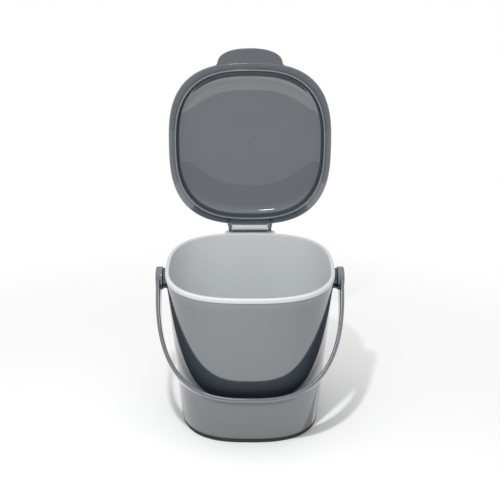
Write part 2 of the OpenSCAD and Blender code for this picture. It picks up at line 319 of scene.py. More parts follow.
def node_material(name, base, roughness):
    """A material with its nodes, links and Principled shader."""
    material = bpy.data.materials.new(name)
    material.use_nodes = True
    nodes = material.node_tree.nodes
    shader = nodes["Principled BSDF"]
    shader.inputs["Base Color"].default_value = (*base, 1)
    shader.inputs["Roughness"].default_value = roughness
    return material, nodes, material.node_tree.links, shader


def add(nodes, kind, **settings):
    """A new node of that kind."""
    node = nodes.new(kind)
    for key, value in settings.items():
        setattr(node, key, value)
    return node


def noise(nodes, links, scale, detail=3.0, roughness=0.5):
    """Noise in the object's own coordinates, scale waves per metre."""
    where = add(nodes, "ShaderNodeTexCoord")
    texture = add(nodes, "ShaderNodeTexNoise")
    texture.inputs["Scale"].default_value = scale
    texture.inputs["Detail"].default_value = detail
    texture.inputs["Roughness"].default_value = roughness
    links.new(where.outputs["Object"], texture.inputs["Vector"])
    return texture.outputs["Fac"]


def spread(nodes, links, source, low, high, source_low=0.3, source_high=0.7):
    """Maps a value to the range low to high."""
    mapping = add(nodes, "ShaderNodeMapRange")
    mapping.inputs["From Min"].default_value = source_low
    mapping.inputs["From Max"].default_value = source_high
    mapping.inputs["To Min"].default_value = low
    mapping.inputs["To Max"].default_value = high
    links.new(source, mapping.inputs["Value"])
    return mapping.outputs["Result"]


def combined(nodes, links, operation, first, second):
    """Two values in one Math node."""
    node = add(nodes, "ShaderNodeMath", operation=operation)
    links.new(first, node.inputs[0])
    links.new(second, node.inputs[1])
    return node.outputs["Value"]


def tinted(nodes, links, factor, colour_a, colour_b):
    """A colour between a and b by factor."""
    mix = add(nodes, "ShaderNodeMix", data_type="RGBA")
    links.new(factor, mix.inputs["Factor"])
    mix.inputs["A"].default_value = (*colour_a, 1)
    mix.inputs["B"].default_value = (*colour_b, 1)
    return mix.outputs["Result"]


def bumped(nodes, links, height, depth, under=None):
    """A normal bent by height, depth metres deep, over the normal under it."""
    bump = add(nodes, "ShaderNodeBump")
    bump.inputs["Strength"].default_value = 1.0
    bump.inputs["Distance"].default_value = depth
    links.new(height, bump.inputs["Height"])
    if under is not None:
        links.new(under, bump.inputs["Normal"])
    return bump.outputs["Normal"]


def scaled(base, factor):
    """A lighter or darker colour."""
    return tuple(min(1.0, c * factor) for c in base)


# the clear skin of the charcoal mouldings
COAT_IOR = 2.45
COAT_ROUGHNESS = 0.035
# painted shade in recesses and creases: how open a spot is where the painted shade is darkest and
# where it stops, and how much of the coat and of the colour is left at the darkest
PAINTED_SHADE_SAMPLES = 6
PAINTED_SHADE_RANGE = (0.4, 0.85)
PAINTED_SHADE_COAT = 0.1
PAINTED_SHADE_TONE = 0.35
# edges: how sharp they are where their lightening starts and where it is full; the lightening is
# painted highlight along the edges, with some scuffing
EDGE_WEAR_AND_HIGHLIGHT_RANGE = (0.51, 0.526)


def moulded_plastic(name, base, gloss, ior, specular, coat, ripple, grain, painted_shade_reach, edge_wear_and_highlight_tone):
    """Moulded plastic with colour drift, edges lightened by painted highlight and scuffing, painted
    shade that darkens recesses and thins their coat, uneven gloss and grain.
    """
    material, nodes, links, shader = node_material(name, base, gloss)
    shader.inputs["IOR"].default_value = ior
    shader.inputs["Specular IOR Level"].default_value = specular
    shader.inputs["Coat Roughness"].default_value = COAT_ROUGHNESS
    shader.inputs["Coat IOR"].default_value = COAT_IOR
    # painted shade: ambient occlusion darkens the colour and thins the coat in recesses and creases
    painted_shade = add(nodes, "ShaderNodeAmbientOcclusion", samples=PAINTED_SHADE_SAMPLES)
    painted_shade.inputs["Distance"].default_value = painted_shade_reach
    coat_under_painted_shade = spread(nodes, links, painted_shade.outputs["AO"], coat * PAINTED_SHADE_COAT, coat, *PAINTED_SHADE_RANGE)
    links.new(coat_under_painted_shade, shader.inputs["Coat Weight"])
    colour_under_painted_shade = spread(nodes, links, painted_shade.outputs["AO"], PAINTED_SHADE_TONE, 1.0, *PAINTED_SHADE_RANGE)
    surface = add(nodes, "ShaderNodeNewGeometry")
    # painted highlight: sharp edges are lightened towards the edge tone, partly as scuffing
    edge_wear_and_highlight = spread(nodes, links, surface.outputs["Pointiness"], 0.0, 1.0, *EDGE_WEAR_AND_HIGHLIGHT_RANGE)
    drift = noise(nodes, links, scale=14, detail=2)
    wear_and_highlight_colour = add(nodes, "ShaderNodeMix", data_type="RGBA")
    links.new(edge_wear_and_highlight, wear_and_highlight_colour.inputs["Factor"])
    links.new(tinted(nodes, links, drift, scaled(base, 0.95), scaled(base, 1.05)), wear_and_highlight_colour.inputs["A"])
    wear_and_highlight_colour.inputs["B"].default_value = (*scaled(base, edge_wear_and_highlight_tone), 1)
    shaded = add(nodes, "ShaderNodeVectorMath", operation="SCALE")
    links.new(wear_and_highlight_colour.outputs["Result"], shaded.inputs["Vector"])
    links.new(colour_under_painted_shade, shaded.inputs["Scale"])
    links.new(shaded.outputs["Vector"], shader.inputs["Base Color"])
    smear = noise(nodes, links, scale=60, detail=4, roughness=0.6)
    links.new(spread(nodes, links, smear, gloss * 0.85, gloss * 1.2), shader.inputs["Roughness"])
    rippled = bumped(nodes, links, noise(nodes, links, scale=22, detail=1), ripple)
    grained = bumped(nodes, links, noise(nodes, links, scale=2600, detail=2), grain, rippled)
    links.new(grained, shader.inputs["Normal"])
    return material


def charcoal_plastic(finish):
    """Glossy charcoal of the bucket, lid and handle."""
    # edges of the charcoal are lightened 2.3 times, mostly painted highlight with some scuffing;
    # painted shade darkens recesses within 12 mm and thins the coat there
    return moulded_plastic(
        "charcoal_gloss", finish.charcoal, finish.gloss, ior=1.5, specular=0.1, coat=1.0,
        ripple=0.03 * MM, grain=0.001 * MM, painted_shade_reach=12 * MM, edge_wear_and_highlight_tone=2.3,
    )


def grey_plastic(finish):
    """Satin pale grey of the liner."""
    # painted shade darkens the liner's crevices within 5 mm; its edges are only a little lighter
    return moulded_plastic(
        "pale_grey_satin", finish.grey, 0.34, ior=1.5, specular=0.5, coat=0.0,
        ripple=0.04 * MM, grain=0.004 * MM, painted_shade_reach=5 * MM, edge_wear_and_highlight_tone=1.05,
    )


def foot_rubber(finish):
    """Dull dark rubber of the foot ring, mottled."""
    material, nodes, links, shader = node_material("foot_rubber", finish.foot, 0.6)
    shader.inputs["Specular IOR Level"].default_value = 0.4
    mottle = noise(nodes, links, scale=900)
    links.new(spread(nodes, links, mottle, 0.5, 0.72), shader.inputs["Roughness"])
    mottled = tinted(nodes, links, mottle, scaled(finish.foot, 0.8), scaled(finish.foot, 1.3))
    links.new(mottled, shader.inputs["Base Color"])
    links.new(bumped(nodes, links, mottle, 0.04 * MM), shader.inputs["Normal"])
    return material


def drawn_steel(finish):
    """Drawn steel of the hinge pin, streaked along its length."""
    material, nodes, links, shader = node_material("drawn_steel", finish.steel, 0.28)
    shader.inputs["Metallic"].default_value = 1.0
    shader.inputs["Anisotropic"].default_value = 0.5
    where = add(nodes, "ShaderNodeTexCoord")
    stretch = add(nodes, "ShaderNodeMapping")
    stretch.inputs["Scale"].default_value = (60, 4000, 4000)
    links.new(where.outputs["Object"], stretch.inputs["Vector"])
    texture = add(nodes, "ShaderNodeTexNoise")
    texture.inputs["Scale"].default_value = 1.0
    links.new(stretch.outputs["Vector"], texture.inputs["Vector"])
    streak = texture.outputs["Fac"]
    links.new(spread(nodes, links, streak, 0.2, 0.38), shader.inputs["Roughness"])
    links.new(
        tinted(nodes, links, streak, scaled(finish.steel, 0.85), finish.steel),
        shader.inputs["Base Color"],
    )
    links.new(bumped(nodes, links, streak, 0.004 * MM), shader.inputs["Normal"])
    return material


MAKERS = {
    "charcoal_gloss": charcoal_plastic,
    "pale_grey_satin": grey_plastic,
    "foot_rubber": foot_rubber,
    "drawn_steel": drawn_steel,
}


def finish_material(name):
    """The finish of that name, made once."""
    return bpy.data.materials.get(name) or MAKERS[name](bpy.context.scene.caddy_finish)


# ---- the caddy's own lines, shared by its pieces ----

# the height above the foot ring from which the wall slopes
SLOPE_FOOT = 1.6 * MM
# how much larger than the barrel an ear's round is, and how far the strap's line stands inside
# the outer faces of the discs
EAR_ROOM = 0.2 * MM
STRAP_INSET = 0.8 * MM
# radius at which a section ends before the middle, where a flat cap closes it
CENTRE = 0.4 * MM


class Lines:
    """Sizes worked out from the properties, as the real mouldings share them."""

    def __init__(self, scene):
        body = scene.caddy_sizes
        lid = scene.caddy_lid
        handle = scene.caddy_handle
        self.body = body
        self.lid = lid
        self.handle = handle
        self.shell_top = RIM_TOP - body.rim_height
        self.shell_top_half = body.rim_half - body.rim_shadow
        slope_height = self.shell_top - FOOT_TOP - SLOPE_FOOT
        self.shell_slope = (self.shell_top_half - body.base_half) / slope_height
        self.shell_floor_top = FOOT_TOP + body.shell_floor
        self.liner_top_half = self.shell_top_half - body.shell_wall - body.liner_gap
        self.liner_bottom = self.shell_floor_top + body.liner_lift
        liner_height = self.shell_top - self.liner_bottom
        self.liner_slope = self.shell_slope + body.liner_taper / liner_height
        self.mouth_half = self.liner_top_half - body.liner_wall
        self.foot_half = body.base_half - body.foot_inset
        self.lid_half = body.rim_half + lid.overhang
        self.lid_z = RIM_TOP + lid.gap
        self.skirt_half = self.mouth_half - lid.skirt_gap
        self.ear_inner = lid.barrel_length / 2 + lid.ear_gap
        self.ear_radius = lid.barrel_radius + EAR_ROOM
        self.boss_end = body.rim_half + handle.boss_out
        self.disc_inner = self.boss_end + handle.disc_gap
        self.disc_outer = self.disc_inner + handle.disc_thickness
        self.strap_half = self.disc_outer - STRAP_INSET

    def shell_half(self, z):
        """Half width of the outer bucket's outside at height z."""
        return self.shell_top_half - self.shell_slope * (self.shell_top - z)

    def liner_half(self, z):
        """Half width of the liner's outside at height z."""
        return self.liner_top_half - self.liner_slope * (self.shell_top - z)

    def shell_side(self, y, z):
        """How far out the outer bucket's side is at (y, z)."""
        half = self.shell_half(z)
        n = self.body.squareness
        return half * (1 - np.abs(y / half) ** n) ** (1 / n)

    def lid_front(self, x):
        """How far forward the closed lid's edge reaches at x."""
        n = self.lid.squareness
        return self.lid_half * (1 - np.abs(x / self.lid_half) ** n) ** (1 / n)

    def handle_angle(self):
        """The resting handle's angle forward from straight down: its back edge lies on the wall."""
        handle = self.handle
        grip_inner = handle.reach - handle.thickness
        corner = sqrt(grip_inner ** 2 + (handle.width_grip / 2) ** 2)
        lean = atan(self.shell_slope)
        touch = (self.shell_half(PIVOT.z) + handle.rest_gap) * cos(lean) / corner
        return asin(touch) - lean + atan(handle.width_grip / 2 / grip_inner)

    def lid_opened(self):
        """Turns a piece drawn with the lid closed to where it stands open."""
        there = Matrix.Translation(HINGE)
        return there @ Matrix.Rotation(-OPEN_ANGLE, 4, "X") @ there.inverted()

    def handle_lowered(self):
        """Turns a handle drawn straight down at the origin to where it rests."""
        return Matrix.Translation(PIVOT) @ Matrix.Rotation(-self.handle_angle(), 4, "X")


def body_rings(section, squareness):
    """Rings round the bucket's outline from (half width, height) pairs.

    A third value in a pair's place is that ring's own squareness.
    """
    return [ring(p[0], p[1], p[2] if len(p) > 2 else squareness) for p in section]


def settle(piece, body, slot, *nodes):
    """Rides the piece on its body and lets it stand for its CAD nodes, which it hides; slot is not
    used.
    """
    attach(piece, body)
    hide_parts(*nodes)


# ---- outer shell ----

RIB_DEPTH = 2 * MM
RIB_WALL = 1.6 * MM
RIB_GAP = 0.2 * MM
STEP_DEPTH = 2.6 * MM
STEP_HEIGHT = 1.6 * MM
STEP_GAP = 0.2 * MM
BOSS_FILLET = 0.9 * MM
BOSS_EDGE = 0.6 * MM
BOSS_SINK = 0.02 * MM
STUB_ROOM = 0.08 * MM
STUB_DEPTH = 2 * MM
ROUND_STEPS = 128


def boss_rings(lines):
    """The round boss on the right side: foot fillet on the wall, rim, end face and stub hole."""
    handle = lines.handle
    t = np.linspace(0, 2 * pi, ROUND_STEPS, endpoint=False)
    rings = []
    for a in np.radians(np.linspace(0, 90, 6)):
        r = handle.boss_radius + BOSS_FILLET * (1 - sin(a))
        y = r * np.cos(t)
        z = PIVOT.z + r * np.sin(t)
        x = lines.shell_side(y, z) + BOSS_FILLET * (1 - cos(a)) - BOSS_SINK
        rings.append(np.column_stack([x, y, z]))
    edge_centre = (lines.boss_end - BOSS_EDGE, handle.boss_radius - BOSS_EDGE)
    section = arc(edge_centre, BOSS_EDGE, BOSS_EDGE, 90, 0, 5)
    hole = handle.stub_radius + STUB_ROOM
    hole_end = lines.boss_end - STUB_DEPTH
    section += [(lines.boss_end, hole), (hole_end, hole), (hole_end, CENTRE)]
    for x, r in section:
        rings.append(np.column_stack([np.full(len(t), x), r * np.cos(t), PIVOT.z + r * np.sin(t)]))
    return rings


class CADDY_OT_outer_shell(bpy.types.Operator):
    """Makes the charcoal outer bucket with its two handle bosses"""

    bl_idname = "caddy.outer_shell"
    bl_label = "Outer shell"

    def execute(self, context):
        lines = Lines(context.scene)
        body = lines.body
        inner_round = 4 * MM
        top_round = 0.5 * MM
        floor_half = lines.shell_half(lines.shell_floor_top) - body.shell_wall
        rib_outer = lines.foot_half - body.foot_width - RIB_GAP
        rib_inner = rib_outer - RIB_WALL
        section = [(CENTRE, FOOT_TOP), (rib_inner, FOOT_TOP), (rib_inner, FOOT_TOP - RIB_DEPTH)]
        section += [(rib_outer, FOOT_TOP - RIB_DEPTH), (rib_outer, FOOT_TOP)]
        step_half = body.base_half - STEP_DEPTH
        section += [(step_half, FOOT_TOP), (step_half, FOOT_TOP + STEP_HEIGHT)]
        wall_foot = FOOT_TOP + STEP_HEIGHT + body.bottom_round
        section += arc((lines.shell_half(wall_foot) - body.bottom_round, wall_foot),
                       body.bottom_round, body.bottom_round, -90, 0, 10)
        steps = np.linspace(0, 1, 14)[1:-1]
        wall_head = lines.shell_top - top_round
        section += [(lines.shell_half(z), z) for z in wall_foot + (wall_head - wall_foot) * steps]
        section += arc((lines.shell_top_half - top_round, wall_head),
                       top_round, top_round, 0, 90, 4)
        section += [(lines.shell_top_half - body.shell_wall, lines.shell_top)]
        section += arc((floor_half - inner_round, lines.shell_floor_top + inner_round),
                       inner_round, inner_round, 0, -90, 6)
        section += [(CENTRE, lines.shell_floor_top)]
        shape = Shape()
        shape.loft(body_rings(section, body.squareness))
        shape.loft(boss_rings(lines), start_cap=False)
        shape.loft(mirrored(boss_rings(lines)), start_cap=False)
        piece = shape.piece("shell_moulding", finish_material("charcoal_gloss"))
        settle(piece, "body", "charcoal_plastic", "outer_shell")
        return {"FINISHED"}


# ---- inner liner ----

BARREL_CREVICE = 1.4 * MM
SHELF_MARGIN = 0.6 * MM
SHELF_CORNER = 6 * MM
SHELF_OVERLAP = 3 * MM
SHELF_EDGE = 0.9 * MM
WEB_FRONT = 0.5 * MM
WEB_SINK = 0.6 * MM
WEB_LEAN = radians(10)
PIN_HOLE = 1.58 * MM


def shelf_outline(lines):
    """Outline of the hinge shelf at the back of the rim, seen from above."""
    half = lines.ear_inner + lines.lid.ear_root + SHELF_MARGIN
    back = HINGE.y + lines.lid.barrel_radius
    front = lines.body.rim_half - SHELF_OVERLAP
    corner = arc((half - SHELF_CORNER, back - SHELF_CORNER), SHELF_CORNER, SHELF_CORNER, 0, 90, 12)
    right = [(half, front)] + corner
    left = [(-x, y) for x, y in reversed(right)]
    return np.array(right + left)


def web_outline(lines):
    """Side outline of the web that stands the barrel on the shelf, as (y, z)."""
    radius = lines.lid.barrel_radius
    foot = HINGE.z - radius - BARREL_CREVICE - WEB_SINK
    front = HINGE.y + WEB_FRONT
    return np.array([
        (front, foot), (HINGE.y + radius, foot),
        (HINGE.y + radius * cos(WEB_LEAN), HINGE.z - radius * sin(WEB_LEAN)), (front, HINGE.z),
    ])


class CADDY_OT_inner_liner(bpy.types.Operator):
    """Makes the pale grey liner with its rim, hinge shelf and barrel"""

    bl_idname = "caddy.inner_liner"
    bl_label = "Inner liner"

    def execute(self, context):
        lines = Lines(context.scene)
        body = lines.body
        outer_round = body.liner_round + body.liner_wall
        outer_foot = lines.liner_half(lines.liner_bottom + outer_round) - outer_round
        floor_top = lines.liner_bottom + body.liner_wall
        wall_foot = floor_top + body.liner_round
        inner_foot = lines.liner_half(wall_foot) - body.liner_wall - body.liner_round
        under = 0.5 * MM
        rim_round = 1.9 * MM
        mouth_round = 1.2 * MM
        section = [(CENTRE, lines.liner_bottom)]
        section += arc((outer_foot, lines.liner_bottom + outer_round),
                       outer_round, outer_round, -90, 0, 10)
        section += [(lines.liner_top_half, lines.shell_top)]
        section += arc((body.rim_half - under, lines.shell_top + under), under, under, -90, 0, 4)
        section += arc((body.rim_half - rim_round, RIM_TOP - rim_round),
                       rim_round, rim_round, 0, 90, 9)
        wall_head = RIM_TOP - mouth_round
        section += arc((lines.mouth_half + mouth_round, wall_head),
                       mouth_round, mouth_round, 90, 180, 7)
        foot_half = inner_foot + body.liner_round
        for share in np.linspace(0, 1, 12)[1:-1]:
            section.append((lines.mouth_half + (foot_half - lines.mouth_half) * share,
                            wall_head + (wall_foot - wall_head) * share))
        section += arc((inner_foot, wall_foot), body.liner_round, body.liner_round, 0, -90, 14)
        section += [(inner_foot * share, floor_top) for share in (0.6, 0.2)]
        shape = Shape()
        shape.loft(body_rings(section, body.squareness))
        self.add_shelf(shape, lines)
        self.add_barrel(shape, lines)
        piece = shape.piece("liner_moulding", finish_material("pale_grey_satin"))
        settle(piece, "body", "grey_plastic", "inner_liner")
        return {"FINISHED"}

    def add_shelf(self, shape, lines):
        """The hinge shelf behind the rim."""
        top = HINGE.z - lines.lid.barrel_radius - BARREL_CREVICE
        shape.loft(plate(shelf_outline(lines), lines.shell_top, top, SHELF_EDGE, at_height, 6))

    def add_barrel(self, shape, lines):
        """The hinge barrel, bored for the pin, and the web under it."""
        half = lines.lid.barrel_length / 2
        radius = lines.lid.barrel_radius
        edge = 0.4 * MM
        end = arc((half - edge, radius - edge), edge, edge, 90, 0, 4)
        profile = [(-x, r) for x, r in reversed(end)] + end + [(half, PIN_HOLE), (-half, PIN_HOLE)]
        shape.loft(moved(lathe_x(profile), (0, HINGE.y, HINGE.z)), hoop=True)
        web_edge = 0.3 * MM

        def across(outline, x):
            return np.column_stack([np.full(len(outline), x), outline[:, 0], outline[:, 1]])

        shape.loft(plate(web_outline(lines), edge - half, half - edge, web_edge, across, 3))


# ---- foot ring ----

class CADDY_OT_foot_ring(bpy.types.Operator):
    """Makes the dark ring that the caddy stands on"""

    bl_idname = "caddy.foot_ring"
    bl_label = "Foot ring"

    def execute(self, context):
        lines = Lines(context.scene)
        half = lines.foot_half
        inner = half - lines.body.foot_width
        edge = 0.8 * MM
        top_edge = 0.3 * MM
        lip_top = FOOT_TOP + STEP_HEIGHT - STEP_GAP
        lip_half = lines.body.base_half - STEP_DEPTH + STEP_GAP
        section = arc((half - edge, edge), edge, edge, -90, 0, 6)
        section += arc((half - top_edge, lip_top - top_edge), top_edge, top_edge, 0, 90, 3)
        section += [(lip_half, lip_top), (lip_half, FOOT_TOP)]
        section += arc((inner + top_edge, FOOT_TOP - top_edge), top_edge, top_edge, 90, 180, 3)
        section += arc((inner + edge, edge), edge, edge, 180, 270, 6)
        shape = Shape()
        shape.loft(body_rings(section, lines.body.squareness), hoop=True)
        piece = shape.piece("foot_moulding", finish_material("foot_rubber"))
        settle(piece, "body", "foot_rubber", "foot_ring")
        return {"FINISHED"}


# ---- lid ----

GATE_RADIUS = 1.3 * MM
GATE_HEIGHT = 0.7 * MM
GATE_HOLE = 0.6 * MM
GATE_EDGE = 0.15 * MM
GATE_FLOOR = 0.03 * MM
# the share of the rise that the dome reaches, where its section starts beside the middle, and how
# its points crowd towards the edge
DOME_TOP = 0.9955
DOME_START = 0.02
DOME_PACKING = 0.7
TAB_SQUARENESS = 2.3
TAB_OVERLAP = 1.5 * MM
TAB_BORDER = 1.8 * MM
TAB_EDGE = 0.9 * MM
EAR_OVERLAP = 9.6 * MM
EAR_RISE = 1.2 * MM
EAR_FLARE_PAST = 1 * MM
EAR_EDGE = 0.5 * MM
EAR_BORDER = 1 * MM


def dome_height(lines, share):
    """The dome's height at that share of its half width, as a share of its full height."""
    n = lines.lid.dome
    return DOME_TOP * max(0.0, 1 - share ** n) ** (1 / n)


def dome_run(lines, half, height, z, steps=64):
    """The dome's section from near its middle down to z at its edge."""
    shares = [sin(a) ** DOME_PACKING for a in np.linspace(DOME_START, pi / 2, steps)]
    return [(half * share, z + height * dome_height(lines, share)) for share in shares]


def lid_section(lines):
    """Section of the closed lid: underside from the middle out, flange, and back over the top."""
    lid = lines.lid
    inner_half = lines.skirt_half - lid.skirt_wall
    tip = lid.skirt_wall / 2
    edge = lid.flange / 2
    root = 0.5 * MM
    section = dome_run(lines, inner_half, lid.rise, lines.lid_z)
    section += arc((lines.skirt_half - tip, lines.lid_z - lid.skirt + tip), tip, tip, 180, 360, 10)
    section += arc((lines.skirt_half + root, lines.lid_z - root), root, root, 180, 90, 4)
    section += [(*p, lid.squareness) for p in
                arc((lines.lid_half - edge, lines.lid_z + edge), edge, edge, -90, 90, 10)]
    outer_z = lines.lid_z + lid.flange
    outer_height = lid.rise + lid.wall - lid.flange
    section += arc((lines.skirt_half + root, outer_z + root), root, root, -90, -180, 4)
    top = dome_run(lines, lines.skirt_half, outer_height, outer_z)
    section += reversed([p for p in top if p[1] > outer_z + root])
    return section


def tab_outline(lines):
    """Outline of the thumb tab with its filleted roots, seen from above, counter-clockwise."""
    lid = lines.lid
    root_y = lines.lid_half - TAB_OVERLAP
    reach = lid.tab_reach + TAB_OVERLAP
    t = np.radians(np.linspace(15, 165, 61))
    r = rounded(t, TAB_SQUARENESS)
    tongue = np.column_stack([lid.tab_half * r * np.cos(t), -root_y - reach * r * np.sin(t)])
    a = np.radians(np.linspace(0, 90, 9))
    x = lid.tab_half + lid.tab_root * (1 - np.sin(a))
    fillet = np.column_stack([x, -lines.lid_front(x) - lid.tab_root * (1 - np.cos(a))])
    other = fillet[::-1] * np.array([-1, 1])
    root_half = lid.tab_half + lid.tab_root
    inside = np.array([(-root_half, -lines.skirt_half), (root_half, -lines.skirt_half)])
    return np.vstack([fillet, tongue, other, inside])[::-1]


def ear_rings(lines):
    """The right-hand ear: a side outline swept across, flared where it leaves the flange."""
    lid = lines.lid
    start = lines.lid_half - EAR_OVERLAP
    back = HINGE.y + lines.ear_radius + EAR_FLARE_PAST
    side = [(start, lines.lid_z)]
    side += arc((HINGE.y, HINGE.z), lines.ear_radius, lines.ear_radius, -90, 90, 28)
    side += [(start, lines.lid_z + lid.flange + EAR_RISE)]
    side = resampled(np.array(side), 120)

    def across(outline, share):
        run = np.clip((outline[:, 0] - start) / (back - start), 0, 1)
        thick = lid.ear + (lid.ear_root - lid.ear) * (1 - run) ** 2
        x = lines.ear_inner + thick * share
        return np.column_stack([x, outline[:, 0], outline[:, 1]])

    turn = EAR_EDGE * 0.35
    face = EAR_EDGE + EAR_BORDER
    levels = [(0.0, face), (0.0, EAR_EDGE), (0.04, turn), (0.12, 0.0),
              (0.85, 0.0), (0.95, turn), (1.0, EAR_EDGE), (1.0, face)]
    return [across(inset_outline(side, depth), share) for share, depth in levels]


class CADDY_OT_lid(bpy.types.Operator):
    """Makes the domed lid with its thumb tab and hinge ears, standing open"""

    bl_idname = "caddy.lid"
    bl_label = "Lid"

    def execute(self, context):
        lines = Lines(context.scene)
        lid = lines.lid
        shape = Shape()
        shape.loft(body_rings(lid_section(lines), lines.body.squareness))
        tab_low = lines.lid_z + (lid.flange - lid.tab_thickness) / 2
        outline = resampled(tab_outline(lines), 300)
        tab_top = tab_low + lid.tab_thickness
        shape.loft(plate(outline, tab_low, tab_top, TAB_EDGE, at_height, 7, TAB_BORDER))
        ear = ear_rings(lines)
        shape.loft(ear)
        shape.loft(mirrored(ear))
        shape.loft(self.gate_mark(lines))
        finish = finish_material("charcoal_gloss")
        piece = shape.piece("lid_moulding", finish, turn=lines.lid_opened())
        settle(piece, "lid", "charcoal_plastic", "lid")
        return {"FINISHED"}

    def gate_mark(self, lines):
        """The small round gate mark in the middle of the underside, with a pit in it."""
        z = lines.lid_z + lines.lid.rise * DOME_TOP
        tip = z - GATE_HEIGHT
        t = np.linspace(0, 2 * pi, 48, endpoint=False)
        section = [
            (CENTRE, z - GATE_FLOOR), (GATE_HOLE, z - GATE_FLOOR), (GATE_HOLE, tip),
            (GATE_RADIUS - GATE_EDGE, tip), (GATE_RADIUS, tip + GATE_EDGE),
            (GATE_RADIUS, z + GATE_EDGE),
        ]
        circle = np.column_stack([np.cos(t), np.sin(t)])
        return [at_height(r * circle, height) for r, height in section]


# ---- hinge pin ----

class CADDY_OT_hinge_pin(bpy.types.Operator):
    """Gives the hinge pin its drawn steel finish"""

    bl_idname = "caddy.hinge_pin"
    bl_label = "Hinge pin"

    def execute(self, context):
        pin = frame["nodes"]["hinge_pin"]
        pin.data.materials.clear()
        pin.data.materials.append(finish_material("drawn_steel"))
        return {"FINISHED"}


# ---- handle ----

STRAP_ROUND = 1.5 * MM
STRAP_LOOK_AHEAD = 0.004
DISC_EDGE = 1.4 * MM
DISC_BACK_EDGE = 0.5 * MM


def strap_rings(lines, stations=181):
    """Rings of the strap along its curve, drawn hanging straight down from the origin."""
    handle = lines.handle
    n = handle.squareness
    size = np.array([lines.strap_half, handle.reach])

    def line(t):
        return rounded(t, n) * size * np.array([cos(t), sin(t)])

    rings = []
    for t in np.linspace(0, pi, stations):
        ahead = line(min(t + STRAP_LOOK_AHEAD, pi)) - line(max(t - STRAP_LOOK_AHEAD, 0))
        out = np.array([ahead[1], -ahead[0]]) / np.linalg.norm(ahead)
        width = handle.width_top + (handle.width_grip - handle.width_top) * sin(t) ** 2
        deep = handle.thickness / 2 - STRAP_ROUND
        wide = width / 2 - STRAP_ROUND
        corners = [(deep, wide), (-deep, wide), (-deep, -wide), (deep, -wide)]
        section = []
        for k, corner in enumerate(corners):
            section += arc(corner, STRAP_ROUND, STRAP_ROUND, 90 * k, 90 * k + 90, 7)
        centre = line(t)
        points = [centre + out * (q[0] - handle.thickness / 2) for q in section]
        rings.append(np.array([(c[0], -q[1], -c[1]) for c, q in zip(points, section)]))
    return rings


def disc_rings(lines):
    """The right-hand end disc with its pivot stub, about the X axis."""
    handle = lines.handle
    inner = lines.disc_inner
    outer = lines.disc_outer
    stub_end = inner - STUB_DEPTH
    section = [(stub_end, CENTRE), (stub_end, handle.stub_radius), (inner, handle.stub_radius)]
    section += arc((inner + DISC_BACK_EDGE, handle.disc_radius - DISC_BACK_EDGE),
                   DISC_BACK_EDGE, DISC_BACK_EDGE, 180, 90, 4)
    section += arc((outer - DISC_EDGE, handle.disc_radius - DISC_EDGE),
                   DISC_EDGE, DISC_EDGE, 90, 0, 8)
    section += [(outer, CENTRE)]
    return lathe_x(section, ROUND_STEPS)


class CADDY_OT_handle(bpy.types.Operator):
    """Makes the strap handle with its end discs, lying on the front wall"""

    bl_idname = "caddy.handle"
    bl_label = "Handle"

    def execute(self, context):
        lines = Lines(context.scene)
        shape = Shape()
        shape.loft(strap_rings(lines))
        disc = disc_rings(lines)
        shape.loft(disc)
        shape.loft(mirrored(disc))
        finish = finish_material("charcoal_gloss")
        piece = shape.piece("handle_moulding", finish, turn=lines.handle_lowered())
        settle(piece, "handle", "charcoal_plastic", "handle")
        return {"FINISHED"}


# ---- studio ----

CAMERA_PLACE = (0, -0.8757, 0.5611)
CAMERA_TILT = radians(67.47)
CAMERA_LENS = 61.98
CAMERA_SENSOR = 36
FLOOR_FRONT = -9.0
FLOOR_BACK = 14.0
FLOOR_SIDE = 9.0
# the floor turns from lit paper to plain white between these distances from a spot before the caddy
FADE_CENTRE = (-0.02, -0.26, 0)
FADE_REACH = (0.22, 0.75)
# the white pool: how far it reaches in front, its half width beside the caddy, how much it widens
# for each metre towards the back, and how soft its edge is
POOL_FRONT = 1.85
POOL_SIDE = 0.75
POOL_WIDENING = 0.6
POOL_EDGE = (0.97, 1.03)
KEY_PLACE = (-0.105, -0.402, 0.770)
KEY_AIM = (-0.06, -0.18, 0.05)
KEY_CONE = radians(110)
KEY_RADIUS = 0.02
GLINT_PLACE = (-0.04, -0.402, 0.770)
GLINT_AIM = (0, -0.1, 0.15)
GLINT_SIZE = (0.07, 0.05)
# height in the sky, from 0 at the horizon to 1, and brightness there
SKY_LOW = (0.3, 0.66)
SKY_HIGH = (0.9, 1.0)


def white_pool(nodes, links):
    """How white the floor is: 0 near the caddy and beyond the pool, 1 in the rest of the pool."""
    where = add(nodes, "ShaderNodeTexCoord")
    reach = add(nodes, "ShaderNodeVectorMath", operation="DISTANCE")
    links.new(where.outputs["Object"], reach.inputs[0])
    reach.inputs[1].default_value = FADE_CENTRE
    fade = spread(nodes, links, reach.outputs["Value"], 0.0, 1.0, *FADE_REACH)
    split = add(nodes, "ShaderNodeSeparateXYZ")
    links.new(where.outputs["Object"], split.inputs["Vector"])
    along = split.outputs["Y"]
    ahead = spread(nodes, links, along, FLOOR_FRONT / POOL_FRONT, 0.0, FLOOR_FRONT, 0.0)
    widest = POOL_SIDE + POOL_WIDENING * FLOOR_BACK
    half = spread(nodes, links, along, POOL_SIDE, widest, 0.0, FLOOR_BACK)
    ellipse = add(nodes, "ShaderNodeCombineXYZ")
    links.new(combined(nodes, links, "DIVIDE", split.outputs["X"], half), ellipse.inputs["X"])
    links.new(ahead, ellipse.inputs["Y"])
    outward = add(nodes, "ShaderNodeVectorMath", operation="LENGTH")
    links.new(ellipse.outputs["Vector"], outward.inputs[0])
    pool = spread(nodes, links, outward.outputs["Value"], 1.0, 0.0, *POOL_EDGE)
    return combined(nodes, links, "MULTIPLY", fade, pool)


